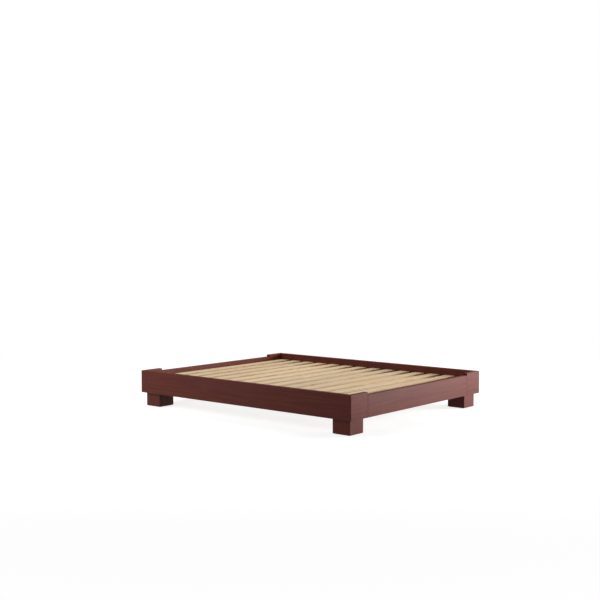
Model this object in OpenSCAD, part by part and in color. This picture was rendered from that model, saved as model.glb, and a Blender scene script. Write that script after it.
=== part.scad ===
// Low bed frame with square block legs and a roll-up slat deck.
// Millimetres. X runs along the bed from head to foot, Y runs across it and Z is up.
// The origin lies on the floor under the middle of the bed.
// Left and right are seen from the foot end, so left is the -Y side.

/* [Frame] */
// Outer length of the frame, head to foot
frame_l = 2100; // [1900:10:2300]
// Outer width of the frame
frame_w = 1700; // [1400:10:2100]
// Thickness of the side boards, corner returns and end rails
board_t = 35; // [32:1:42]
// Height of the side boards and corner returns
side_h = 176; // [160:1:220]
// How far the end rails stop below the top of the side boards
rail_drop = 18; // [5:1:35]
// Width of a corner return on the end face, from the outer side face
return_w = 192; // [170:1:240]
// Bevel that eases the edges of the stained boards and legs
board_ease = 1.5; // [0.5:0.1:3]

/* [Legs] */
// Width and depth of a square leg
leg_w = 150; // [130:1:160]
// Height of a leg without its felt pad
leg_h = 105; // [80:1:160]
// Distance from the outer faces of the frame to a leg
leg_inset = 30; // [20:1:34]
// Thickness of the felt pad under a leg
felt_t = 3; // [2:0.5:6]
// Distance from the side of a leg to its felt pad
felt_inset = 8; // [4:1:20]

/* [Corner blocks and cleats] */
// Thickness of the corner blocks and rail cleats that the bolts pass through
clamp_t = 40; // [32:1:46]
// Height of a rail cleat
cleat_h = 55; // [40:1:60]
// How far a rail cleat laps the rail past the seam between return and rail
cleat_lap = 105; // [96:1:125]
// Gap between a rail cleat and the washer of the nearest leg bolt
washer_clear = 8; // [2:1:12]
// How far a corner block reaches past its leg
block_over = 12; // [0:1:20]
// Distance along X and Y from the middle of a leg to each of its two bolts
leg_bolt_offset = 36; // [25:1:37]
// Distance from the seam to the first bolt and the first screw of a cleat
cleat_first = 30; // [20:1:40]
// Distance from each end of a cleat to its last bolt or screw
cleat_edge = 27; // [15:1:32]

/* [Slat deck] */
// Number of slats
slat_n = 14; // [10:1:14]
// Width of a slat
slat_w = 90; // [60:1:110]
// Thickness of a slat
slat_t = 20; // [16:1:25]
// Bevel that eases the edges of a slat
slat_ease = 2; // [0.5:0.5:4]
// Depth from the top of the side boards down to the slats
recess_d = 52; // [40:1:60]
// Gap between the end of a slat and the side board
slat_end_gap = 5; // [2:1:12]
// Gap between the end rails and the first and last slats
deck_end_gap = 15; // [5:1:25]
// Width of the tapes that join the slats
tape_w = 30; // [20:1:50]
// Thickness of the tapes
tape_t = 1.2; // [0.8:0.1:2]
// Distance from the middle of the bed to each tape
tape_y = 500; // [300:10:530]

/* [Ledgers] */
// Width of the ledgers that carry the slat ends
ledger_w = 30; // [25:1:40]
// Height of the ledgers
ledger_h = 40; // [35:1:45]
// Number of screws in each ledger
ledger_screw_n = 7; // [4:1:10]
// Distance from the outer end of the frame to the first ledger screw
ledger_screw_inset = 140; // [135:1:220]

/* [Centre beam] */
// Width of the centre beam
beam_w = 45; // [38:1:60]
// Height of the centre beam
beam_h = 70; // [60:1:80]
// Distance from the middle of the bed to each centre leg
centre_leg_x = 340; // [200:10:600]
// Diameter of a centre leg
centre_leg_d = 50; // [40:1:70]
// Thickness of the sheet steel of the beam hangers
hanger_t = 2; // [1.5:0.1:3]
// How far a hanger reaches under the beam
hanger_reach = 36; // [30:1:60]
// Height of a hanger above its seat
hanger_h = 60; // [52:1:66]
// Width of the flange at each side of a hanger
hanger_flange = 21; // [18:1:40]

/* [Levelling glides] */
// Diameter of a glide's plastic pad
glide_d = 38; // [28:1:60]
// Thickness of a glide's plastic pad
glide_pad_t = 8; // [7:0.5:12]
// Height of the hexagon that turns a glide
glide_hex_h = 6; // [4:0.5:10]
// Width across the flats of that hexagon
glide_hex_af = 17; // [13:1:24]
// Gap between the hexagon and the centre leg at rest
glide_gap = 6; // [5.5:0.5:12]
// Length of stud inside the centre leg at rest
glide_stud_in = 24; // [20:1:30]

/* [Fasteners] */
// Diameter of the bolts, hanger bolts and glide studs
bolt_d = 8; // [6:1:8]
// Diameter of a bolt head
bolt_head_d = 14; // [12:1:16]
// Height of a bolt head
bolt_head_h = 4.5; // [3:0.5:6]
// Outer diameter of a washer
washer_d = 20; // [17:1:22]
// Thickness of a washer
washer_t = 1.6; // [1:0.1:2]
// Outer diameter of a threaded insert
insert_d = 12; // [11:0.5:14]
// Length of a threaded insert
insert_l = 20; // [15:1:24]
// Diameter of the ledger and cleat screws
screw_d = 5; // [4:0.5:6]
// Depth that those screws bite into the boards
screw_bite = 20; // [12:1:24]
// Diameter of the hanger screws
small_screw_d = 4.5; // [3.5:0.5:5]
// Length of the hanger screws below the head
small_screw_l = 20; // [12:1:21]
// Diameter of the dowels and slat pegs
dowel_d = 8; // [6:1:8]
// Length of the dowels and slat pegs
dowel_l = 30; // [24:1:32]
// How far a slat peg stands above its ledger
peg_up = 12; // [8:1:15]

/* [Hidden] */

ends = ["head", "foot"];
sides = ["left", "right"];
slat_names = [for (i = [1:slat_n]) str("slat_", i < 10 ? "0" : "", i)];
function corner_name(part, e, s) = str(part, "_", e, "_", s);

// Heights
leg_top = felt_t + leg_h;
frame_top = leg_top + side_h;
rail_h = side_h - rail_drop;
block_top = leg_top + clamp_t;
cleat_mid = block_top + cleat_h / 2;
slat_bottom = frame_top - recess_d - slat_t;
ledger_mid = slat_bottom - ledger_h / 2;
beam_bottom = slat_bottom - beam_h;
centre_leg_bottom = glide_pad_t + glide_hex_h + glide_gap;

// Plan
half_l = frame_l / 2;
half_w = frame_w / 2;
leg_mid = leg_inset + leg_w / 2;
block_reach = leg_inset + leg_w + block_over;
block_w = block_reach - board_t;
cleat_start = leg_mid - leg_bolt_offset + washer_d / 2 + washer_clear;
cleat_end = return_w + cleat_lap;
rail_l = frame_w - 2 * return_w;
inner_half_l = half_l - board_t;
inner_half_w = half_w - board_t;
slat_l = 2 * (inner_half_w - slat_end_gap);
deck_l = 2 * (inner_half_l - deck_end_gap);
slat_pitch = (deck_l - slat_w) / (slat_n - 1);
peg_x = (deck_l - slat_w) / 2;
peg_y = inner_half_w - ledger_w / 2;
ledger_end_gap = 1;
beam_end_gap = 1;
beam_l = 2 * (inner_half_l - hanger_t - beam_end_gap);

// Fits
turn_fit = 0.1;
wood_fit = 0.1;
bolt_slack = 0.5;
peg_slack = 0.5;
hanger_slack = 0.5;
bottom_gap = 1;
drill_over = 0.1;
bolt_l = clamp_t + washer_t + insert_l - 2;
screw_head_d = 2 * screw_d;
screw_head_h = screw_d / 2;
small_head_d = 2 * small_screw_d;
small_head_h = 0.6 * small_screw_d;
mitre_dowel_edge = 28;
block_dowel_edge = 35;
glide_socket_d = bolt_d + 2;
glide_socket_depth = 4.5;
glide_slack = 0.3;
hanger_screw_x = 20;
hanger_screw_step = 32;

mahogany = [0.36, 0.20, 0.18];
pine = [0.83, 0.68, 0.48];
beech = [0.80, 0.62, 0.45];
steel = [0.72, 0.72, 0.70];
felt_grey = [0.35, 0.33, 0.32];
webbing = [0.88, 0.86, 0.80];
black_plastic = [0.10, 0.10, 0.10];

$fn = 48;

// Shared shapes

module eased_rect(w, h, ease) {
    x = w / 2;
    y = h / 2;
    polygon([
        [x - ease, -y], [x, -y + ease], [x, y - ease], [x - ease, y],
        [-x + ease, y], [-x, y - ease], [-x, -y + ease], [-x + ease, -y]
    ]);
}

// A box standing on z = 0 with all twelve edges eased
module eased_box(size, ease) {
    intersection() {
        linear_extrude(size.z) eased_rect(size.x, size.y, ease);
        translate([0, size.y / 2, size.z / 2]) rotate([90, 0, 0])
            linear_extrude(size.y) eased_rect(size.x, size.z, ease);
        translate([-size.x / 2, 0, size.z / 2]) rotate([90, 0, 90])
            linear_extrude(size.x) eased_rect(size.y, size.z, ease);
    }
}

// Corner parts are drawn for the corner at +X +Y and mirrored to the end and side asked for.
module at_corner(e, s) {
    mirror([e == "head" ? 1 : 0, 0, 0]) mirror([0, s == "left" ? 1 : 0, 0]) children();
}

module at_end(e) {
    mirror([e == "head" ? 1 : 0, 0, 0]) children();
}

module at_side(s) {
    mirror([0, s == "left" ? 1 : 0, 0]) children();
}

module at_all_corners() {
    for (e = ends, s = sides) at_corner(e, s) children();
}

// Turns what points along +Z so that it points along -X or -Y, out of an inner face
module out_of_end() {
    rotate([0, -90, 0]) children();
}

module out_of_side() {
    rotate([90, 0, 0]) children();
}

// Places of the fasteners in the +X +Y corner, each on the face where its head bears

module at_leg_bolts() {
    for (d = [-leg_bolt_offset, leg_bolt_offset])
        translate([half_l - leg_mid + d, half_w - leg_mid + d, block_top]) children();
}

module at_rail_bolts() {
    for (d = [return_w + cleat_first, cleat_end - cleat_edge])
        translate([inner_half_l - clamp_t, half_w - d, cleat_mid]) out_of_end() children();
}

module at_frame_bolts() {
    at_leg_bolts() children();
    at_rail_bolts() children();
}

module at_cleat_screws() {
    for (d = [return_w - cleat_first, cleat_start + cleat_edge])
        translate([inner_half_l - clamp_t, half_w - d, cleat_mid]) out_of_end() children();
}

module at_mitre_dowels() {
    for (z = [mitre_dowel_edge, side_h / 2, side_h - mitre_dowel_edge])
        translate([half_l - board_t / 2, half_w - board_t / 2, leg_top + z])
            rotate([90, 0, 45]) children();
}

module at_block_dowels() {
    for (d = [board_t + block_dowel_edge, block_reach - block_dowel_edge]) {
        translate([half_l - d, inner_half_w, leg_top + clamp_t / 2]) out_of_side() children();
        translate([inner_half_l, half_w - d, leg_top + clamp_t / 2]) out_of_end() children();
    }
}

// Screws of the right-hand ledger, on its inner face
module at_ledger_screws() {
    span = frame_l - 2 * ledger_screw_inset;
    for (k = [0 : ledger_screw_n - 1])
        translate([k * span / (ledger_screw_n - 1) - span / 2, inner_half_w - ledger_w, ledger_mid])
            out_of_side() children();
}

// Screws of the foot hanger: four into the rail and one through each cheek into the beam
module at_hanger_screws() {
    y = beam_w / 2 + hanger_slack + hanger_t + hanger_flange / 2;
    z = beam_bottom + hanger_h / 2;
    for (side = [-1, 1], step = [-1, 1])
        translate([inner_half_l - hanger_t, side * y, z + step * hanger_screw_step / 2])
            out_of_end() children();
    for (side = [-1, 1])
        translate([
            inner_half_l - hanger_screw_x,
            side * (beam_w / 2 + hanger_slack + hanger_t),
            z
        ])
            rotate([side * -90, 0, 0]) children();
}

// Fasteners, each with its bearing face at z = 0, its head above and its shank below

module flat_bolt() {
    translate([0, 0, washer_t]) difference() {
        union() {
            cylinder(d = bolt_head_d, h = bolt_head_h);
            translate([0, 0, -bolt_l]) cylinder(d = bolt_d, h = bolt_l);
        }
        translate([0, 0, bolt_head_h / 3]) cylinder(d = bolt_d * 0.7, h = bolt_head_h, $fn = 6);
    }
}

module washer() {
    difference() {
        cylinder(d = washer_d, h = washer_t);
        translate([0, 0, -drill_over])
            cylinder(r = bolt_d / 2 + bolt_slack, h = washer_t + 2 * drill_over);
    }
}

// A threaded insert with its mouth at z = 0
module insert() {
    translate([0, 0, -insert_l]) difference() {
        cylinder(d = insert_d, h = insert_l);
        translate([0, 0, -drill_over])
            cylinder(r = bolt_d / 2 + turn_fit, h = insert_l + 2 * drill_over);
    }
}

// A countersunk screw whose head lies flush with z = 0
module flush_screw(length) {
    difference() {
        union() {
            translate([0, 0, -screw_head_h])
                cylinder(d1 = screw_d, d2 = screw_head_d, h = screw_head_h);
            translate([0, 0, -length]) cylinder(d = screw_d, h = length - screw_head_h);
        }
        translate([0, 0, -screw_head_h / 2]) cylinder(d = screw_d * 0.6, h = screw_head_h, $fn = 6);
    }
}

module pan_screw() {
    difference() {
        union() {
            cylinder(d = small_head_d, h = small_head_h);
            translate([0, 0, -small_screw_l]) cylinder(d = small_screw_d, h = small_screw_l);
        }
        translate([0, 0, small_head_h / 3])
            cylinder(d = small_screw_d * 0.6, h = small_head_h, $fn = 6);
    }
}

// Holes for them

module bolt_hole() {
    translate([0, 0, -clamp_t - drill_over])
        cylinder(r = bolt_d / 2 + bolt_slack, h = clamp_t + 2 * drill_over);
}

// The hole that holds an insert, and the bolt's end past it, in the piece behind the clamped one
module insert_hole() {
    translate([0, 0, -clamp_t - insert_l - bottom_gap])
        cylinder(r = insert_d / 2 + wood_fit, h = insert_l + bottom_gap + drill_over);
}

module flush_screw_hole(length) {
    translate([0, 0, -length - bottom_gap])
        cylinder(r = screw_d / 2 + wood_fit, h = length + bottom_gap + drill_over);
    translate([0, 0, -screw_head_h])
        cylinder(
            r1 = screw_d / 2 + wood_fit,
            r2 = screw_head_d / 2 + wood_fit,
            h = screw_head_h
        );
}

module pan_screw_hole() {
    translate([0, 0, -small_screw_l - bottom_gap])
        cylinder(r = small_screw_d / 2 + wood_fit, h = small_screw_l + bottom_gap + drill_over);
}

module dowel_hole() {
    cylinder(r = dowel_d / 2 + wood_fit, h = dowel_l + 2 * bottom_gap, center = true);
}

// Side boards and corner returns, mitred together at the four corners

module side_board(s) {
    cut_w = board_t + 1;
    color(mahogany) at_side(s) difference() {
        intersection() {
            translate([0, half_w - board_t / 2, leg_top])
                eased_box([frame_l + board_t, board_t, side_h], board_ease);
            linear_extrude(frame_top + 1) polygon([
                [half_l - board_ease - 1, half_w + 1],
                [half_l - board_ease / 2, half_w - board_ease / 2],
                [half_l - cut_w, half_w - cut_w],
                [-half_l + cut_w, half_w - cut_w],
                [-half_l + board_ease / 2, half_w - board_ease / 2],
                [-half_l + board_ease + 1, half_w + 1]
            ]);
        }
        for (e = ends) at_end(e) {
            at_mitre_dowels() dowel_hole();
            at_block_dowels() dowel_hole();
        }
        at_ledger_screws() flush_screw_hole(ledger_w + screw_bite);
    }
}

module corner_return(e, s) {
    cut_w = board_t + 1;
    color(mahogany) at_corner(e, s) difference() {
        intersection() {
            translate([half_l - board_t / 2, half_w - (return_w - board_t) / 2, leg_top])
                eased_box([board_t, return_w + board_t, side_h], board_ease);
            linear_extrude(frame_top + 1) polygon([
                [half_l + 1, half_w - board_ease - 1],
                [half_l - board_ease / 2, half_w - board_ease / 2],
                [half_l - cut_w, half_w - cut_w],
                [half_l - cut_w, half_w - return_w - 1],
                [half_l + 1, half_w - return_w - 1]
            ]);
        }
        at_mitre_dowels() dowel_hole();
        at_block_dowels() dowel_hole();
        at_cleat_screws() flush_screw_hole(clamp_t + screw_bite);
    }
}

module end_rail(e) {
    color(mahogany) at_end(e) difference() {
        translate([half_l - board_t / 2, 0, leg_top])
            eased_box([board_t, rail_l, rail_h], board_ease);
        for (s = sides) at_side(s) at_rail_bolts() insert_hole();
        at_hanger_screws() pan_screw_hole();
    }
}

// Legs, and the blocks in the corners that they are bolted to

module leg(e, s) {
    color(mahogany) at_corner(e, s) difference() {
        translate([half_l - leg_mid, half_w - leg_mid, felt_t])
            eased_box([leg_w, leg_w, leg_h], board_ease);
        at_leg_bolts() insert_hole();
    }
}

module felt_pad(e, s) {
    felt_w = leg_w - 2 * felt_inset;
    color(felt_grey) at_corner(e, s)
        translate([half_l - leg_mid - felt_w / 2, half_w - leg_mid - felt_w / 2, 0])
            cube([felt_w, felt_w, felt_t]);
}

module corner_block(e, s) {
    color(mahogany) at_corner(e, s) difference() {
        translate([inner_half_l - block_w, inner_half_w - block_w, leg_top])
            cube([block_w, block_w, clamp_t]);
        at_leg_bolts() bolt_hole();
        at_block_dowels() dowel_hole();
    }
}

module rail_cleat(e, s) {
    color(mahogany) at_corner(e, s) difference() {
        translate([inner_half_l - clamp_t, half_w - cleat_end, block_top])
            cube([clamp_t, cleat_end - cleat_start, cleat_h]);
        at_rail_bolts() bolt_hole();
        at_cleat_screws() flush_screw_hole(clamp_t + screw_bite);
    }
}

// Ledgers and the pegs that hold the slat deck in place

module ledger(s) {
    ledger_l = 2 * (inner_half_l - ledger_end_gap);
    color(mahogany) at_side(s) difference() {
        translate([-ledger_l / 2, inner_half_w - ledger_w, slat_bottom - ledger_h])
            cube([ledger_l, ledger_w, ledger_h]);
        at_ledger_screws() flush_screw_hole(ledger_w + screw_bite);
        for (x = [-peg_x, peg_x]) translate([x, peg_y, slat_bottom]) peg_hole(wood_fit);
    }
}

module slat_pegs() {
    color(beech) for (s = sides, x = [-peg_x, peg_x]) at_side(s)
        translate([x, peg_y, slat_bottom + peg_up - dowel_l]) cylinder(d = dowel_d, h = dowel_l);
}

// A hole round a peg that stands at z = 0, in the ledger below and the slat above
module peg_hole(slack) {
    depth = dowel_l - peg_up + bottom_gap;
    translate([0, 0, -depth]) cylinder(r = dowel_d / 2 + slack, h = depth + slat_t + drill_over);
}

// Centre beam with its hangers and its two legs

module centre_beam() {
    color(pine) difference() {
        translate([0, 0, beam_bottom]) eased_box([beam_l, beam_w, beam_h], slat_ease);
        for (e = ends) at_end(e) {
            at_hanger_screws() pan_screw_hole();
            translate([centre_leg_x, 0, beam_bottom]) hanger_bolt_hole();
        }
    }
}

module beam_hanger(e) {
    inside = beam_w + 2 * hanger_slack;
    outside = inside + 2 * hanger_t;
    wide = outside + 2 * hanger_flange;
    color(steel) at_end(e) difference() {
        translate([inner_half_l, 0, beam_bottom - hanger_t]) union() {
            translate([-hanger_t, -wide / 2, 0]) cube([hanger_t, wide, hanger_h + hanger_t]);
            translate([-hanger_reach, -outside / 2, 0]) cube([hanger_reach, outside, hanger_t]);
            for (y = [-outside / 2, inside / 2])
                translate([-hanger_reach, y, 0])
                    cube([hanger_reach, hanger_t, hanger_h + hanger_t]);
        }
        at_hanger_screws() pan_screw_hole();
    }
}

module centre_leg(e) {
    length = beam_bottom - centre_leg_bottom;
    color(pine) at_end(e) translate([centre_leg_x, 0, centre_leg_bottom]) difference() {
        cylinder(d = centre_leg_d, h = length, $fn = 96);
        translate([0, 0, -drill_over])
            cylinder(r = insert_d / 2 + wood_fit, h = insert_l + drill_over);
        translate([0, 0, -drill_over])
            cylinder(r = bolt_d / 2 + bolt_slack, h = glide_stud_in + glide_gap + 2 * bottom_gap);
        translate([0, 0, length - insert_l - bottom_gap])
            cylinder(r = insert_d / 2 + wood_fit, h = insert_l + bottom_gap + drill_over);
    }
}

// Bolts with a wood thread up into the beam and a machine thread down into the leg
module hanger_bolts() {
    color(steel) for (e = ends) at_end(e)
        translate([centre_leg_x, 0, beam_bottom - insert_l + 2])
            cylinder(d = bolt_d, h = insert_l - 2 + beam_h / 2);
}

module hanger_bolt_hole() {
    translate([0, 0, -drill_over])
        cylinder(r = bolt_d / 2 + wood_fit, h = beam_h / 2 + bottom_gap + drill_over);
}

// Levelling glides: a stud that turns in the leg, and a pad on the floor that doesn't turn

module glide_pad(e) {
    color(black_plastic) at_end(e) translate([centre_leg_x, 0, 0]) difference() {
        union() {
            cylinder(d = glide_d, h = glide_pad_t / 2, $fn = 64);
            translate([0, 0, glide_pad_t / 2])
                cylinder(d1 = glide_d, d2 = glide_hex_af, h = glide_pad_t / 2, $fn = 64);
        }
        translate([0, 0, glide_pad_t - glide_socket_depth])
            cylinder(d = glide_socket_d, h = glide_socket_depth + drill_over);
    }
}

module glide_stud(e) {
    foot_top = glide_pad_t + glide_slack;
    color(steel) at_end(e) translate([centre_leg_x, 0, 0]) union() {
        translate([0, 0, glide_pad_t - glide_socket_depth + glide_slack])
            cylinder(r = glide_socket_d / 2 - glide_slack, h = glide_socket_depth);
        translate([0, 0, foot_top])
            cylinder(d = glide_hex_af / cos(30), h = glide_hex_h - glide_slack, $fn = 6);
        translate([0, 0, foot_top])
            cylinder(d = bolt_d, h = centre_leg_bottom - foot_top + glide_stud_in);
    }
}

// Grouped fasteners

module frame_bolts() {
    color(steel) at_all_corners() at_frame_bolts() flat_bolt();
}

module bolt_washers() {
    color(steel) at_all_corners() at_frame_bolts() washer();
}

module threaded_inserts() {
    color(steel) {
        at_all_corners() at_frame_bolts() translate([0, 0, -clamp_t]) insert();
        for (e = ends) at_end(e) translate([centre_leg_x, 0, 0]) {
            translate([0, 0, centre_leg_bottom + insert_l]) insert();
            translate([0, 0, beam_bottom]) insert();
        }
    }
}

module dowels() {
    color(beech) at_all_corners() {
        at_mitre_dowels() cylinder(d = dowel_d, h = dowel_l, center = true);
        at_block_dowels() cylinder(d = dowel_d, h = dowel_l, center = true);
    }
}

module cleat_screws() {
    color(steel) at_all_corners() at_cleat_screws() flush_screw(clamp_t + screw_bite);
}

module ledger_screws() {
    color(steel) for (s = sides) at_side(s) at_ledger_screws() flush_screw(ledger_w + screw_bite);
}

module hanger_screws() {
    color(steel) for (e = ends) at_end(e) at_hanger_screws() pan_screw();
}

// Slats and the tapes under them that join them into a roll

module slat(i) {
    x = (i - 1) * slat_pitch - peg_x;
    color(pine) difference() {
        translate([x, 0, slat_bottom]) eased_box([slat_w, slat_l, slat_t], slat_ease);
        if (i == 1 || i == slat_n)
            for (s = sides) at_side(s) translate([x, peg_y, slat_bottom]) peg_hole(peg_slack);
    }
}

module slat_tape(s) {
    color(webbing) at_side(s)
        translate([-deck_l / 2, tape_y - tape_w / 2, slat_bottom - tape_t])
            cube([deck_l, tape_w, tape_t]);
}

for (s = sides) {
    side_board(s);
    ledger(s);
    slat_tape(s);
}
for (e = ends) {
    end_rail(e);
    beam_hanger(e);
    centre_leg(e);
    glide_stud(e);
    glide_pad(e);
}
for (e = ends, s = sides) {
    corner_return(e, s);
    leg(e, s);
    felt_pad(e, s);
    corner_block(e, s);
    rail_cleat(e, s);
}
for (i = [1:slat_n]) {
    slat(i);
}
centre_beam();
frame_bolts();
bolt_washers();
threaded_inserts();
hanger_bolts();
dowels();
cleat_screws();
ledger_screws();
hanger_screws();
slat_pegs();
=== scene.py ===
import math

import bmesh
import bpy
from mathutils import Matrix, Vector


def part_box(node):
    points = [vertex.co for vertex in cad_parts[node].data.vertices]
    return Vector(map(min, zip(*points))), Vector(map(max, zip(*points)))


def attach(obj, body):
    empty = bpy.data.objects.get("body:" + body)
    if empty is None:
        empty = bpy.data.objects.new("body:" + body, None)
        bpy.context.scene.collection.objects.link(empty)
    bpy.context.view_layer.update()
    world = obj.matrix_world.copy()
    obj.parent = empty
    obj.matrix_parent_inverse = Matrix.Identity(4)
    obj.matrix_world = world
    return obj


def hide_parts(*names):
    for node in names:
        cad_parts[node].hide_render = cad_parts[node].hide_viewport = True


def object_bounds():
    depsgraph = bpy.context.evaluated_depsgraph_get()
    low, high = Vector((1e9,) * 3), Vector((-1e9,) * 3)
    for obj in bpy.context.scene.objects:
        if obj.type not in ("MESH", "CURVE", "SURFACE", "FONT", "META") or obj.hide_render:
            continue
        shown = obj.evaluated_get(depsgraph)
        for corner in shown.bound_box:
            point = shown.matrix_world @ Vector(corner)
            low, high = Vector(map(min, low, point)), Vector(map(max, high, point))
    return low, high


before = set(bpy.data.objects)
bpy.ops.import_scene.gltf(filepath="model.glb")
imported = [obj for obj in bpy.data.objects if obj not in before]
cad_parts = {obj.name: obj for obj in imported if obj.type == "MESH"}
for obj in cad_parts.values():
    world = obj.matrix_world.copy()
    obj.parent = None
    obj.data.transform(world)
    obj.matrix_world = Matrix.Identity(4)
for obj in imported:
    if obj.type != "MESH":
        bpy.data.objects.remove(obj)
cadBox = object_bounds()
print("frame loaded")


# Camera and studio

cameraSet = {
    "lens": 59.83,  # mm
    "sensor": 36,  # mm wide
    "place": (5.0213, -6.1374, 1.2801),
    "pitchDown": 3.1137,  # degrees below the horizon
    "turn": 39.86,  # degrees from the bed's cross axis
}

lightSet = {
    "overhead": {"place": (-1.3, 1.6, 3.4), "aim": (0, 0, 0), "size": 3.6, "watts": 75},
    "footLow": {"place": (4.2, 4.2, 0.9), "aim": (1.05, 0.1, 0.2), "size": 1.6, "watts": 408},
    "headNear": {"place": (-1.7, -2.9, 1.6), "aim": (-0.6, -0.85, 0.2), "size": 1.6, "watts": 42},
}

studioSet = {
    "ambient": 0.15,  # light that reaches every surface from all round
    "floorColour": 0.25,  # as it lights the bed from below
    "floorShown": 0.5,  # as the camera sees it, so that the shadow shows
    "floorGlow": 0.785,  # added near the bed, and rises to 1 where the floor fades to white
    "floorReach": 60,  # metres
    "fadeFrom": 2.6,  # metres from the middle of the bed
    "fadeTo": 5.0,
}


def placeCamera():
    data = bpy.data.cameras.new("camera")
    data.lens = cameraSet["lens"]
    data.sensor_width = cameraSet["sensor"]
    camera = bpy.data.objects.new("camera", data)
    bpy.context.collection.objects.link(camera)
    camera.location = cameraSet["place"]
    camera.rotation_euler = (math.radians(90 - cameraSet["pitchDown"]), 0, math.radians(cameraSet["turn"]))
    bpy.context.scene.camera = camera


def placeLight(name, place, aim, size, watts):
    data = bpy.data.lights.new(name, "AREA")
    data.shape = "SQUARE"
    data.size = size
    data.energy = watts
    light = bpy.data.objects.new(name, data)
    bpy.context.collection.objects.link(light)
    light.location = place
    light.rotation_euler = (Vector(aim) - Vector(place)).to_track_quat("-Z", "Y").to_euler()
    light.visible_camera = False


# Shader maths

class Wire:  # a socket that can stand in a sum
    def __init__(self, finish, socket):
        self.finish = finish
        self.socket = socket

    def out(self, key):
        return Wire(self.finish, self.socket.node.outputs[key])

    def maths(self, operation, *values):
        return self.finish.add("ShaderNodeMath", {"operation": operation}, dict(enumerate(values)))

    def alone(self, operation):
        return self.maths(operation, self)

    def __add__(self, other):
        return self.maths("ADD", self, other)

    def __radd__(self, other):
        return self.maths("ADD", other, self)

    def __sub__(self, other):
        return self.maths("SUBTRACT", self, other)

    def __rsub__(self, other):
        return self.maths("SUBTRACT", other, self)

    def __mul__(self, other):
        return self.maths("MULTIPLY", self, other)

    def __rmul__(self, other):
        return self.maths("MULTIPLY", other, self)

    def __truediv__(self, other):
        return self.maths("DIVIDE", self, other)

    def __pow__(self, other):
        return self.maths("POWER", self, other)

    def __abs__(self):
        return self.alone("ABSOLUTE")


class Finish:  # a material or world and its nodes
    def __init__(self, owner):
        self.owner = owner
        owner.use_nodes = True
        self.tree = owner.node_tree
        self.tree.nodes.clear()

    def add(self, kind, settings=None, sockets=None, output=0):
        node = self.tree.nodes.new(kind)
        for key, value in (settings or {}).items():
            setattr(node, key, value)
        for key, value in (sockets or {}).items():
            if isinstance(value, Wire):
                self.tree.links.new(value.socket, node.inputs[key])
            elif isinstance(value, tuple) and node.inputs[key].type == "RGBA":
                node.inputs[key].default_value = (*value, 1)
            else:
                node.inputs[key].default_value = value
        return Wire(self, node.outputs[output]) if len(node.outputs) else None

    def place(self):
        return self.add("ShaderNodeTexCoord", output="Object")

    def split(self, vector):
        x = self.add("ShaderNodeSeparateXYZ", sockets={0: vector})
        return x, x.out(1), x.out(2)

    def join(self, x, y, z):
        return self.add("ShaderNodeCombineXYZ", sockets={0: x, 1: y, 2: z})

    def vectors(self, operation, first, second):
        return self.add("ShaderNodeVectorMath", {"operation": operation}, {0: first, 1: second})

    def scaled(self, vector, scale):
        return self.add("ShaderNodeVectorMath", {"operation": "SCALE"}, {0: vector, "Scale": scale})

    def noise(self, vector, detail=2.0, rough=0.5):
        return self.add("ShaderNodeTexNoise", sockets={
            "Vector": vector, "Scale": 1.0, "Detail": detail, "Roughness": rough})

    def step(self, value, low, high):  # 0 below low, 1 above high, smooth between
        return self.add("ShaderNodeMapRange", {"interpolation_type": "SMOOTHSTEP"}, {
            0: value, 1: low, 2: high, 3: 0.0, 4: 1.0})

    def mix(self, share, first, second, how="MIX"):
        return self.add("ShaderNodeMix", {"data_type": "RGBA", "blend_type": how}, {
            0: share, 6: first, 7: second}, 2)

    def bump(self, height, strength, distance):
        return self.add("ShaderNodeBump", sockets={
            "Strength": strength, "Distance": distance, "Height": height})

    def surface(self, sockets):
        shader = self.add("ShaderNodeBsdfPrincipled", sockets=sockets)
        self.add("ShaderNodeOutputMaterial", sockets={0: shader})
        return self.owner


def newFinish(name):
    return Finish(bpy.data.materials.new(name))


# Wood

stained = {
    "light": (0.170, 0.0425, 0.0345),
    "dark": (0.133, 0.0310, 0.0235),
    "ringTint": (0.80, 0.74, 0.72),
    "ringWidth": 0.0065,
    "ringShare": 0.22,
    "figure": (3.2, 48.0),  # streaks per metre along and across the grain
    "fibre": (9.0, 480.0),
    "pore": (75.0, 1350.0),
    "poreShare": 0.66,
    "poreTint": (0.42, 0.36, 0.36),
    "endTint": (0.62, 0.58, 0.58),
    # rubbed edges are lighter, partly wear and partly a painted highlight
    "rubAndHighlightColour": (0.27, 0.115, 0.085),
    "rubAndHighlightShare": 0.35,
    "rubAndHighlightWidth": 0.0028,
    "seamColour": (0.022, 0.008, 0.006),
    "cloudTint": (1.10, 1.03, 0.87),
    "boardSpread": 0.03,
    "knots": False,
    "roughness": 0.31,
    "specular": 0.09,
    "coat": 0.03,
    "mattTop": 0.5,  # added to the roughness of the faces that point up
    "bump": 0.25,
}

# the legs take a darker copy of the stain, painted shade from the boards above them, and a little more gloss
shadedLegWood = dict(
    stained,
    light=(0.158, 0.0394, 0.0322),
    dark=(0.124, 0.0288, 0.0219),
    specular=0.105,
)

pine = {
    "light": (0.80, 0.64, 0.42),
    "dark": (0.71, 0.53, 0.32),
    "ringTint": (0.84, 0.69, 0.50),
    "ringWidth": 0.0036,
    "ringShare": 0.85,
    "figure": (0.9, 16.0),
    "fibre": (16.0, 520.0),
    "pore": (60.0, 900.0),
    "poreShare": 0.25,
    "poreTint": (0.80, 0.68, 0.52),
    "endTint": (0.80, 0.74, 0.66),
    # rubbed edges are lighter, partly wear and partly a painted highlight
    "rubAndHighlightColour": (0.84, 0.69, 0.49),
    "rubAndHighlightShare": 0.30,
    "rubAndHighlightWidth": 0.003,
    "cloudTint": (1.0, 0.95, 0.88),
    "boardSpread": 0.07,
    "knots": True,
    "knotColour": (0.42, 0.215, 0.095),
    "knotRim": (0.15, 0.07, 0.035),
    "roughness": 0.53,
    "specular": 0.35,
    "coat": 0.0,
    "mattTop": 0.0,
    "bump": 0.35,
}

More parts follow.
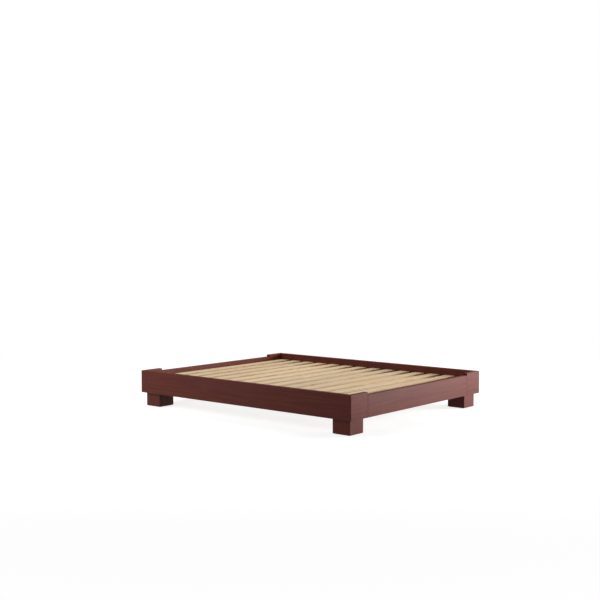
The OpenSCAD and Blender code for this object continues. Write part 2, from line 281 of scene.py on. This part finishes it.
beech = dict(
    pine,
    light=(0.66, 0.45, 0.29),
    dark=(0.56, 0.36, 0.22),
    ringTint=(0.86, 0.78, 0.70),
    ringWidth=0.0028,
    ringShare=0.5,
    pore=(260.0, 1500.0),
    poreShare=0.6,
    poreTint=(0.62, 0.45, 0.34),
    knots=False,
)

grainSet = {
    "boardShift": 7.31,  # how far apart in the pattern two boards are cut
    "boardTurn": 2.4,  # radians round the pith from board to board
    "toneTurn": 5.3,  # radians of a wave that makes boards lighter and darker
    "pithBends": (0.9, 2.2),  # per metre along and across the board
    "pithSway": 0.075,
    "pithAway": 0.10,  # metres from the middle of the board
    "pithSpread": 0.05,  # further out by this, once or twice, for two boards in three
    "pithAside": 0.35,  # how far to the side, as a share of how far out
    "ringRise": (0.25, 0.86),  # shares of a ring's width
    "ringFall": (0.90, 1.0),
    "figureShare": 0.6,
    "streakEdges": (0.36, 0.64),
    "poreEdges": (0.60, 0.72),
    "clouds": (1.6, 11.0),  # per metre along and across
    "cloudEdges": (0.35, 0.65),
    "facingEdges": (0.75, 0.95),  # how squarely a face turns to the grain, or up
    "patches": 24,  # patches per metre, where edges are rubbed and lit with a painted highlight
    "patchEdges": (0.38, 0.68),
    "rubAndHighlightFrom": 0.0004,  # metres from the edge
    "hairline": (0.0003, 0.0011),  # metres from the mitre to where its line starts and ends to fade
    "hairlineShare": 0.75,
    "sheen": 7,  # duller spots per metre
    "sheenRoughness": 0.08,  # added to the roughness in the spots, and so on below
    "poreRoughness": 0.06,
    "endRoughness": 0.16,
    "rubAndHighlightRoughness": -0.05,
    "coatRoughness": 0.28,
    "fibreHeight": 0.35,  # shares of the relief
    "poreHeight": -0.65,
    "ringHeight": -0.2,
    "relief": 0.0002,  # metres
}

knotSet = {
    "cells": (3.2, 6.5, 2.0),  # per metre along, across and through the board
    "swirl": 0.24,  # how far round a knot the rings bend, as a share of its cell
    "swirlBy": 0.011,  # metres
    "edge": (0.048, 0.056),
    "rimAt": 0.052,
    "rimFade": (0.003, 0.011),
    "rimShare": 0.6,
    "rings": 900,
    "ringDepth": 0.12,
    "share": 0.70,
}


def wood(node, kind, grain, seed):
    # grain is "X", "Y" or "Z"; each board is cut from another part of the tree
    low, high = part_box(node)
    middle = (low + high) / 2
    half = (high - low) / 2
    f = newFinish("wood_" + node)
    x, y, z = f.split(f.vectors("SUBTRACT", f.place(), tuple(middle)))
    along, wide, thick = {"X": (x, z, y), "Y": (y, z, x), "Z": (z, x, y)}[grain]
    shift = grainSet["boardShift"] * seed

    def stretched(scale, start=0.0):
        a, b = scale
        return f.join(along * a + (shift + start), wide * b + shift, thick * b)

    # growth rings round a pith that lies outside the board and wanders along it
    a, b = grainSet["pithBends"]
    bends = f.noise(f.join(along * a + shift, wide * b, thick * b), detail=1.5).out("Color")
    sway = f.split(f.vectors("SUBTRACT", bends, (0.5, 0.5, 0.5)))
    turn = seed * grainSet["boardTurn"]
    reach = grainSet["pithAway"] + grainSet["pithSpread"] * (seed % 3)
    aside = grainSet["pithAside"] * reach * math.sin(turn)
    away = reach * (1 if math.cos(turn) > 0 else -1)
    fromPithWide = wide + sway[0] * grainSet["pithSway"] + aside
    fromPithThick = thick + sway[1] * grainSet["pithSway"] + away
    radius = (fromPithWide * fromPithWide + fromPithThick * fromPithThick) ** 0.5
    if kind["knots"]:
        a, b, c = knotSet["cells"]
        cells = f.add("ShaderNodeTexVoronoi", {"feature": "F1"}, {
            "Vector": f.join(along * a + shift, wide * b + shift, thick * c + shift), "Scale": 1.0})
        radius = radius + (1 - f.step(cells, 0.0, knotSet["swirl"])) * knotSet["swirlBy"]
        knot = 1 - f.step(cells, *knotSet["edge"])
        knotRim = 1 - f.step(abs(cells - knotSet["rimAt"]), *knotSet["rimFade"])
        knotRings = (cells * knotSet["rings"]).alone("SINE") * knotSet["ringDepth"] + knotSet["share"]
    phase = (radius / kind["ringWidth"]).alone("FRACT")
    rings = f.step(phase, *grainSet["ringRise"]) * (1 - f.step(phase, *grainSet["ringFall"]))

    figure = f.noise(stretched(kind["figure"]), detail=3.0, rough=0.55)
    fibre = f.noise(stretched(kind["fibre"], start=3.0), detail=2.0, rough=0.6)
    pores = f.step(f.noise(stretched(kind["pore"], start=9.0), detail=1.0), *grainSet["poreEdges"])
    figureShare = grainSet["figureShare"]
    streak = f.step(figure * figureShare + fibre * (1 - figureShare), *grainSet["streakEdges"])
    depth = 1 + kind["boardSpread"] * math.sin(seed * grainSet["toneTurn"])
    colour = f.mix(streak, tuple(c * depth for c in kind["dark"]), tuple(c * depth for c in kind["light"]))
    clouds = f.step(f.noise(stretched(grainSet["clouds"], start=5.0)), *grainSet["cloudEdges"])
    colour = f.mix(clouds, colour, kind["cloudTint"], "MULTIPLY")
    colour = f.mix(rings * kind["ringShare"], colour, kind["ringTint"], "MULTIPLY")
    colour = f.mix(pores * kind["poreShare"], colour, kind["poreTint"], "MULTIPLY")
    if kind["knots"]:
        colour = f.mix(knot * knotRings, colour, kind["knotColour"])
        colour = f.mix(knotRim * knotSet["rimShare"], colour, kind["knotRim"])

    # end grain soaks up more stain and finish
    normal = f.split(f.add("ShaderNodeTexCoord", output="Normal"))
    endGrain = f.step(abs(normal["XYZ".index(grain)]), *grainSet["facingEdges"])
    colour = f.mix(endGrain, colour, kind["endTint"], "MULTIPLY")

    # edges rubbed a little thinner and lighter, which also paints a highlight along them: the second nearest
    # pair of faces is close there
    fromFace = [h - abs(v) for h, v in zip(half, (x, y, z))]
    nearer = fromFace[0].maths("MINIMUM", fromFace[0], fromFace[1])
    farther = fromFace[0].maths("MAXIMUM", fromFace[0], fromFace[1])
    second = nearer.maths("MAXIMUM", nearer, farther.maths("MINIMUM", farther, fromFace[2]))
    many = grainSet["patches"]
    patches = f.step(
        f.noise(f.join(x * many + shift, y * many, z * many), detail=3.0), *grainSet["patchEdges"])
    rubAndHighlight = (1 - f.step(second, grainSet["rubAndHighlightFrom"], kind["rubAndHighlightWidth"])) * patches
    colour = f.mix(rubAndHighlight * kind["rubAndHighlightShare"], colour, kind["rubAndHighlightColour"])

    # the hairline of a mitre, where a side board meets a return at 45 degrees
    if node.startswith(("side_board", "corner_return")):
        fromCorner = abs(abs(x + middle.x) - cadBox[1][0] - (abs(y + middle.y) - cadBox[1][1]))
        hairline = 1 - f.step(fromCorner, *grainSet["hairline"])
        colour = f.mix(hairline * grainSet["hairlineShare"], colour, kind["seamColour"])

    many = grainSet["sheen"]
    sheen = f.noise(f.join(x * many + shift, y * many, z * many), detail=3.0)
    roughness = kind["roughness"] + sheen * grainSet["sheenRoughness"] + pores * grainSet["poreRoughness"]
    roughness = roughness + endGrain * grainSet["endRoughness"] + rubAndHighlight * grainSet["rubAndHighlightRoughness"]
    coat = kind["coat"]
    if kind["mattTop"]:
        matt = f.step(normal[2], *grainSet["facingEdges"])
        roughness = roughness + matt * kind["mattTop"]
        coat = (1 - matt) * coat
    height = fibre * grainSet["fibreHeight"] + pores * grainSet["poreHeight"]
    height = height + rings * grainSet["ringHeight"]
    return f.surface({
        "Base Color": colour,
        "Roughness": roughness,
        "Specular IOR Level": kind["specular"],
        "Coat Weight": coat,
        "Coat Roughness": grainSet["coatRoughness"],
        "Normal": f.bump(height, kind["bump"], grainSet["relief"]),
    })


# Other finishes

steelSet = {
    "bright": (0.66, 0.665, 0.67),
    "dull": (0.50, 0.49, 0.46),
    "clouds": 90,  # per metre
    "cloudEdges": (0.42, 0.70),
    "fine": 1400,
    "roughness": 0.26,
    "dullRoughness": 0.16,  # added where the zinc is dull
    "fineRoughness": 0.06,
    "bump": 0.15,
    "relief": 0.00005,  # metres
}


def zincSteel():
    f = newFinish("zinc_steel")
    place = f.place()
    fine = f.noise(f.scaled(place, steelSet["fine"]), detail=1.0)
    clouds = f.noise(f.scaled(place, steelSet["clouds"]), detail=3.0)
    dull = f.step(clouds, *steelSet["cloudEdges"])
    roughness = steelSet["roughness"] + dull * steelSet["dullRoughness"] + fine * steelSet["fineRoughness"]
    return f.surface({
        "Base Color": f.mix(dull, steelSet["bright"], steelSet["dull"]),
        "Metallic": 1.0,
        "Roughness": roughness,
        "Normal": f.bump(fine, steelSet["bump"], steelSet["relief"]),
    })


feltLook = {
    "dark": (0.055, 0.049, 0.046),
    "light": (0.125, 0.112, 0.104),
    "tufts": 260,  # per metre
    "hairs": (1600.0, 700.0, 1600.0),
    "toneEdges": (0.36, 0.64),
    "roughness": 0.93,
    "specular": 0.2,
    "sheen": 0.35,
    "sheenRoughness": 0.5,
    "tuftHeight": 0.6,  # share of the relief, the rest is hairs
    "bump": 0.8,
    "relief": 0.0006,  # metres
}


def pressedFelt():
    f = newFinish("pressed_felt")
    place = f.place()
    tufts = f.noise(f.scaled(place, feltLook["tufts"]), detail=4.0, rough=0.7)
    hairs = f.noise(f.vectors("MULTIPLY", place, feltLook["hairs"]), detail=2.0, rough=0.6)
    tone = f.step((tufts + hairs) / 2, *feltLook["toneEdges"])
    height = tufts * feltLook["tuftHeight"] + hairs * (1 - feltLook["tuftHeight"])
    return f.surface({
        "Base Color": f.mix(tone, feltLook["dark"], feltLook["light"]),
        "Roughness": feltLook["roughness"],
        "Specular IOR Level": feltLook["specular"],
        "Sheen Weight": feltLook["sheen"],
        "Sheen Roughness": feltLook["sheenRoughness"],
        "Normal": f.bump(height, feltLook["bump"], feltLook["relief"]),
    })


plasticSet = {
    "black": (0.018, 0.018, 0.019),
    "worn": (0.034, 0.033, 0.033),
    "grain": 1900,  # per metre
    "marks": 160,
    "markEdges": (0.55, 0.75),
    "roughness": 0.42,
    "markRoughness": 0.12,  # added in the marks
    "grainRoughness": 0.08,
    "bump": 0.25,
    "relief": 0.0001,  # metres
}


def blackPlastic():
    f = newFinish("moulded_plastic")
    place = f.place()
    grain = f.noise(f.scaled(place, plasticSet["grain"]))
    marks = f.step(f.noise(f.scaled(place, plasticSet["marks"]), detail=4.0), *plasticSet["markEdges"])
    roughness = plasticSet["roughness"] + marks * plasticSet["markRoughness"]
    return f.surface({
        "Base Color": f.mix(marks, plasticSet["black"], plasticSet["worn"]),
        "Roughness": roughness + grain * plasticSet["grainRoughness"],
        "Normal": f.bump(grain, plasticSet["bump"], plasticSet["relief"]),
    })


weaveSet = {
    "shade": (0.50, 0.465, 0.39),
    "thread": (0.77, 0.745, 0.67),
    "soil": (0.52, 0.46, 0.36),
    "soilShare": 0.18,
    "soilSpots": (6, 40),  # per metre along and across
    "soilEdges": (0.45, 0.75),
    "pitch": (0.0022, 0.0016),  # metres from thread to thread, along X and Y
    "weaveShade": 0.25,
    "toneEdges": (0.28, 0.74),
    "fuzz": (350, 900),
    "roughness": 0.86,
    "sheen": 0.2,
    "weaveHeight": 0.6,  # share of the relief, the rest is fuzz
    "bump": 0.7,
    "relief": 0.0004,  # metres
}


def wovenTape():
    f = newFinish("woven_tape")
    x, y, z = f.split(f.place())
    waves = [2 * math.pi / pitch for pitch in weaveSet["pitch"]]
    weave = (y * waves[1]).alone("SINE") * (x * waves[0]).alone("SINE")
    a, b = weaveSet["fuzz"]
    fuzz = f.noise(f.join(x * a, y * b, z * b), detail=3.0, rough=0.65)
    a, b = weaveSet["soilSpots"]
    soil = f.step(f.noise(f.join(x * a, y * b, z * b), detail=3.0), *weaveSet["soilEdges"])
    # the threads are darker in the hollows of the weave, painted shade, and the fuzz adds random tone
    tone = f.step(weave * weaveSet["weaveShade"] + fuzz, *weaveSet["toneEdges"])
    colour = f.mix(tone, weaveSet["shade"], weaveSet["thread"])
    height = weave * weaveSet["weaveHeight"] + fuzz * (1 - weaveSet["weaveHeight"])
    return f.surface({
        "Base Color": f.mix(soil * weaveSet["soilShare"], colour, weaveSet["soil"]),
        "Roughness": weaveSet["roughness"],
        "Sheen Weight": weaveSet["sheen"],
        "Normal": f.bump(height, weaveSet["bump"], weaveSet["relief"]),
    })


def dress(nodes, material):
    for name in nodes:
        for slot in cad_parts[name].material_slots:
            slot.material = material


def dressFrame():
    ends = ("head", "foot")
    sides = ("left", "right")
    boards = [("side_board_" + s, stained, "X") for s in sides]
    boards += [(e + "_rail", stained, "Y") for e in ends]
    for piece, kind, grain in (
        ("corner_return", stained, "Y"), ("leg", shadedLegWood, "Z"), ("corner_block", stained, "X"),
        ("rail_cleat", stained, "Y"),
    ):
        boards += [(piece + "_" + e + "_" + s, kind, grain) for e in ends for s in sides]
    boards += [("ledger_" + s, stained, "X") for s in sides]
    boards += [("centre_beam", pine, "X")]
    boards += [("centre_leg_" + e, pine, "Z") for e in ends]
    boards += [(name, pine, "Y") for name in slatNames()]
    boards += [("dowels", beech, "X"), ("slat_pegs", beech, "Z")]
    for seed, (name, kind, grain) in enumerate(boards):
        dress([name], wood(name, kind, grain, seed + 1))
    steel = zincSteel()
    dress([
        "beam_hanger_head", "beam_hanger_foot", "glide_stud_head", "glide_stud_foot", "frame_bolts",
        "bolt_washers", "threaded_inserts", "hanger_bolts", "cleat_screws", "ledger_screws", "hanger_screws",
    ], steel)
    dress(["glide_pad_head", "glide_pad_foot"], blackPlastic())
    print("boards, slats and fasteners finished")
    return steel


def slatNames():
    return sorted(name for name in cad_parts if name[:5] == "slat_" and name[5:].isdigit())


# Mesh work

def deselect():
    bpy.ops.object.select_all(action="DESELECT")


def edit(piece):
    bpy.context.view_layer.objects.active = piece
    bpy.ops.object.mode_set(mode="EDIT")
    return bmesh.from_edit_mesh(piece.data)


def done():
    bpy.ops.object.mode_set(mode="OBJECT")


def pick(mesh, wanted):  # selects the vertices that wanted(point) is true for
    for vertex in mesh.verts:
        vertex.select = wanted(vertex.co)
    mesh.select_flush_mode()
    mesh.select_flush(True)


def settle(piece):
    deselect()
    piece.select_set(True)
    bpy.context.view_layer.objects.active = piece
    bpy.ops.object.transform_apply(location=True, rotation=True, scale=True)


# Felt pads under the legs

feltSet = {
    "cuts": 14,
    "rounding": 0.0009,
    "unevenness": 0.00018,
    "flat": 0.0002,  # height of the top and bottom faces that stay even
    "smooth": 50,  # degrees
}


def feltPad(node, material, seed):
    low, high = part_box(node)
    deselect()
    bpy.ops.mesh.primitive_cube_add(size=1, location=(low + high) / 2)
    pad = bpy.context.object
    pad.name = "pad_" + node
    pad.scale = high - low
    settle(pad)
    rounding = pad.modifiers.new("rounding", "BEVEL")
    rounding.width = feltSet["rounding"]
    rounding.segments = 3
    bpy.ops.object.modifier_apply(modifier="rounding")
    edit(pad)
    size = high.x - low.x
    for cut in range(1, feltSet["cuts"]):
        for axis, start in ((Vector((1, 0, 0)), low.x), (Vector((0, 1, 0)), low.y)):
            bpy.ops.mesh.select_all(action="SELECT")
            bpy.ops.mesh.bisect(plane_co=axis * (start + size * cut / feltSet["cuts"]), plane_no=axis)
    mesh = bmesh.from_edit_mesh(pad.data)
    pick(mesh, lambda p: low.z + feltSet["flat"] < p.z < high.z - feltSet["flat"])
    bmesh.update_edit_mesh(pad.data)
    bpy.ops.transform.vertex_random(offset=feltSet["unevenness"], seed=seed)
    done()
    pad.data.materials.append(material)
    bpy.ops.object.shade_smooth_by_angle(angle=math.radians(feltSet["smooth"]))
    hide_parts(node)
    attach(pad, "frame")


# Tapes that join the slats, and their staples

tapeSet = {
    "sag": 0.0014,
    "cuts": 6,  # in the free stretch between two slats
    "hem": 0.002,
    "rounding": 0.0003,
    "smooth": 40,  # degrees
    "staplesAt": (-0.024, 0.024),  # metres from the middle of a slat
}

stapleSet = {
    "crown": 0.0096,
    "wire": 0.0011,
    "bend": 0.0011,
    "leg": 0.004,
    "sides": 8,
    "smooth": 50,  # degrees
}

touch = 0.0001  # metres within which a point counts as lying in a plane


def slatTape(side, material):
    node = "slat_tape_" + side
    low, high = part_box(node)
    deselect()
    middle = (low + high) / 2
    bpy.ops.mesh.primitive_plane_add(size=1, location=(middle.x, middle.y, high.z))
    tape = bpy.context.object
    tape.name = "woven_tape_" + side
    tape.scale = (high.x - low.x, high.y - low.y, 1)
    settle(tape)
    edit(tape)
    slats = [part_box(name) for name in slatNames()]
    cuts = []
    for (_, before), (after, _) in zip(slats, slats[1:]):
        for k in range(tapeSet["cuts"] + 1):
            share = k / tapeSet["cuts"]
            cuts.append((before.x + (after.x - before.x) * share, 4 * share * (1 - share)))
    for place, _ in cuts:
        bpy.ops.mesh.select_all(action="SELECT")
        bpy.ops.mesh.bisect(plane_co=(place, 0, 0), plane_no=(1, 0, 0))
    for place, sink in cuts:
        if sink > 0:
            mesh = bmesh.from_edit_mesh(tape.data)
            pick(mesh, lambda p: abs(p.x - place) < touch)
            bmesh.update_edit_mesh(tape.data)
            bpy.ops.transform.translate(value=(0, 0, -tapeSet["sag"] * sink))
    for edge in (low.y + tapeSet["hem"], high.y - tapeSet["hem"]):
        bpy.ops.mesh.select_all(action="SELECT")
        bpy.ops.mesh.bisect(plane_co=(0, edge, 0), plane_no=(0, 1, 0))
    done()
    wall = tape.modifiers.new("wall", "SOLIDIFY")
    wall.thickness = high.z - low.z
    wall.offset = -1
    bpy.ops.object.modifier_apply(modifier="wall")
    rounding = tape.modifiers.new("rounding", "BEVEL")
    rounding.width = tapeSet["rounding"]
    rounding.segments = 2
    bpy.ops.object.modifier_apply(modifier="rounding")
    tape.data.materials.append(material)
    bpy.ops.object.shade_smooth_by_angle(angle=math.radians(tapeSet["smooth"]))
    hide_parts(node)
    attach(tape, "slat_deck")
    return low, high


def stapleShape():
    # one staple with its crown along Y under z = 0 and its legs up
    wire = stapleSet["wire"]
    bend = stapleSet["bend"]
    crown = stapleSet["crown"] - 2 * bend
    deselect()
    bpy.ops.mesh.primitive_cylinder_add(
        vertices=stapleSet["sides"], radius=wire / 2, depth=crown, location=(0, 0, -wire / 2),
        rotation=(math.pi / 2, 0, 0))
    staple = bpy.context.object
    settle(staple)
    for way in (-1, 1):
        mesh = edit(staple)
        pick(mesh, lambda p: p.y * way > crown / 2 - touch)
        bmesh.update_edit_mesh(staple.data)
        bpy.ops.mesh.spin(
            steps=3, angle=math.pi / 2, center=(0, way * crown / 2, bend - wire / 2), axis=(-way, 0, 0))
        bpy.ops.mesh.extrude_region_move(TRANSFORM_OT_translate={"value": (0, 0, stapleSet["leg"])})
        done()
    return staple


def tapeStaples(side, box, steel):
    low, high = box
    first = stapleShape()
    copies = []
    for name in slatNames():
        slatLow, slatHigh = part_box(name)
        for step in tapeSet["staplesAt"]:
            copy = first.copy()
            copy.data = first.data.copy()
            copy.location = ((slatLow.x + slatHigh.x) / 2 + step, (low.y + high.y) / 2, low.z)
            bpy.context.collection.objects.link(copy)
            copies.append(copy)
    bpy.data.objects.remove(first)
    deselect()
    for copy in copies:
        copy.select_set(True)
    bpy.context.view_layer.objects.active = copies[0]
    bpy.ops.object.join()
    staples = bpy.context.object
    staples.name = "tape_staples_" + side
    settle(staples)
    staples.data.materials.append(steel)
    bpy.ops.object.shade_smooth_by_angle(angle=math.radians(stapleSet["smooth"]))
    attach(staples, "slat_deck")


# Threaded studs of the levelling glides

studSet = {
    "core": 0.0034,
    "crest": 0.004,
    "pitch": 0.00125,  # one turn lifts the glide by as much
    "hexLow": 0.0083,
    "hexHigh": 0.014,
    "hexWide": 0.017,  # across the flats
    "hexFace": 0.0081,  # radius of the round face that the corners are turned down to
    "foot": 0.0047,  # radius of the part that sits in the pad
    "footRounding": 0.0004,
    "flank": 0.44,  # share of the pitch that one side of a tooth takes
    "steps": 24,  # in one turn of the thread
    "weld": 0.000002,
    "smooth": 25,  # degrees
}


def threadShape(high):
    # one tooth is drawn and wound up the stud
    pitch, core, crest = studSet["pitch"], studSet["core"], studSet["crest"]
    flank = studSet["flank"]
    turns = math.ceil((high - studSet["hexHigh"]) / pitch) + 1
    deselect()
    bpy.ops.mesh.primitive_plane_add(size=2 * core)
    thread = bpy.context.object
    mesh = edit(thread)
    pick(mesh, lambda p: p.x + p.y < core)
    bmesh.update_edit_mesh(thread.data)
    bpy.ops.mesh.delete(type="VERT")
    bpy.ops.mesh.select_all(action="SELECT")
    bpy.ops.transform.translate(value=(0, -core, high - turns * pitch))
    for out, up in ((crest - core, flank), (0, 1 - 2 * flank), (core - crest, flank)):
        bpy.ops.mesh.extrude_region_move(TRANSFORM_OT_translate={"value": (out, 0, up * pitch)})
    done()
    winding = thread.modifiers.new("winding", "SCREW")
    winding.screw_offset = pitch
    winding.iterations = turns - 1
    winding.steps = winding.render_steps = studSet["steps"]
    bpy.ops.object.modifier_apply(modifier="winding")
    edit(thread)
    bpy.ops.mesh.select_all(action="SELECT")
    bpy.ops.mesh.remove_doubles(threshold=studSet["weld"])
    bpy.ops.mesh.fill_holes(sides=0)
    bpy.ops.mesh.normals_make_consistent(inside=False)
    done()
    return thread


def hexShape():
    # a hexagon whose corners are turned down by a round bar with tapered ends
    low, high = studSet["hexLow"], studSet["hexHigh"]
    corner = studSet["hexWide"] / 2 / math.cos(math.pi / 6)
    barWide = corner + 2 * touch
    taper = (barWide - studSet["hexFace"]) * math.tan(math.pi / 6)
    middle = (low + high) / 2
    deselect()
    bpy.ops.mesh.primitive_cylinder_add(
        vertices=48, radius=barWide, depth=high - low - 2 * taper, location=(0, 0, middle))
    bar = bpy.context.object
    settle(bar)
    for way in (-1, 1):
        mesh = edit(bar)
        end = middle + way * ((high - low) / 2 - taper)
        pick(mesh, lambda p: abs(p.z - end) < touch)
        bmesh.update_edit_mesh(bar.data)
        bpy.ops.mesh.extrude_region_move(TRANSFORM_OT_translate={"value": (0, 0, way * taper)})
        share = studSet["hexFace"] / barWide
        bpy.ops.transform.resize(value=(share, share, 1), center_override=(0, 0, end + way * taper))
        done()
    deselect()
    bpy.ops.mesh.primitive_cylinder_add(
        vertices=6, radius=corner, depth=high - low, location=(0, 0, middle), rotation=(0, 0, math.pi / 6))
    hexagon = bpy.context.object
    settle(hexagon)
    turned = hexagon.modifiers.new("turned", "BOOLEAN")
    turned.operation = "INTERSECT"
    turned.object = bar
    bpy.ops.object.modifier_apply(modifier="turned")
    bpy.data.objects.remove(bar)
    return hexagon


def footShape(node):
    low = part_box(node)[0].z
    deselect()
    bpy.ops.mesh.primitive_cylinder_add(
        vertices=40, radius=studSet["foot"], depth=studSet["hexLow"] - low,
        location=(0, 0, (studSet["hexLow"] + low) / 2))
    foot = bpy.context.object
    settle(foot)
    rounding = foot.modifiers.new("rounding", "BEVEL")
    rounding.width = studSet["footRounding"]
    rounding.segments = 3
    bpy.ops.object.modifier_apply(modifier="rounding")
    return foot


def glideStud(end, steel):
    node = "glide_stud_" + end
    low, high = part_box(node)
    parts = [threadShape(high.z), hexShape(), footShape(node)]
    deselect()
    for part in parts:
        part.select_set(True)
    bpy.context.view_layer.objects.active = parts[0]
    bpy.ops.object.join()
    stud = bpy.context.object
    stud.name = "threaded_stud_" + end
    stud.location = ((low.x + high.x) / 2, (low.y + high.y) / 2, 0)
    settle(stud)
    stud.data.materials.append(steel)
    bpy.ops.object.shade_smooth_by_angle(angle=math.radians(studSet["smooth"]))
    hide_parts(node)
    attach(stud, node)


# Floor and air

def whiteRays(f):  # 1 for the rays that show the background, 0 for those that light the object
    path = f.add("ShaderNodeLightPath", output="Is Camera Ray")
    mirrored = path.maths("MAXIMUM", path.out("Is Glossy Ray"), path.out("Is Transmission Ray"))
    return path.maths("MAXIMUM", path, mirrored)


def makeFloor():
    deselect()
    bpy.ops.mesh.primitive_circle_add(
        vertices=96, radius=studioSet["floorReach"], fill_type="NGON", location=(0, 0, 0))
    floor = bpy.context.object
    floor.name = "floor"
    f = newFinish("floor")
    x, y, z = f.split(f.place())
    fade = f.step((x * x + y * y) ** 0.5, studioSet["fadeFrom"], studioSet["fadeTo"])
    shown = whiteRays(f)
    unseen = studioSet["floorColour"]
    grey = (shown * (studioSet["floorShown"] - unseen) + unseen) * (1 - fade)
    matt = f.add("ShaderNodeBsdfDiffuse", sockets={0: f.join(grey, grey, grey)})
    least = studioSet["floorGlow"]
    glow = f.add("ShaderNodeEmission", sockets={
        0: (1.0, 1.0, 1.0), 1: shown * (fade * (1 - least) + least)})
    both = f.add("ShaderNodeAddShader", sockets={0: matt, 1: glow})
    f.add("ShaderNodeOutputMaterial", sockets={0: both})
    floor.data.materials.append(f.owner)


def makeAir():
    world = bpy.data.worlds.new("studio")
    bpy.context.scene.world = world
    f = Finish(world)
    strength = whiteRays(f) * (1 - studioSet["ambient"]) + studioSet["ambient"]
    air = f.add("ShaderNodeBackground", sockets={0: (1.0, 1.0, 1.0), 1: strength})
    f.add("ShaderNodeOutputWorld", sockets={0: air})


bpy.context.scene.view_settings.view_transform = "Standard"
placeCamera()
for lightName, light in lightSet.items():
    placeLight(lightName, **light)
makeFloor()
makeAir()
print("camera, lights and floor placed")

steel = dressFrame()

felt = pressedFelt()
for seed, node in enumerate(sorted(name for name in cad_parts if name.startswith("felt_pad_"))):
    feltPad(node, felt, seed)
print("felt pads made")

webbing = wovenTape()
for side in ("left", "right"):
    tapeStaples(side, slatTape(side, webbing), steel)
print("slat tapes stapled")

for end in ("head", "foot"):
    glideStud(end, steel)
print("glides threaded")
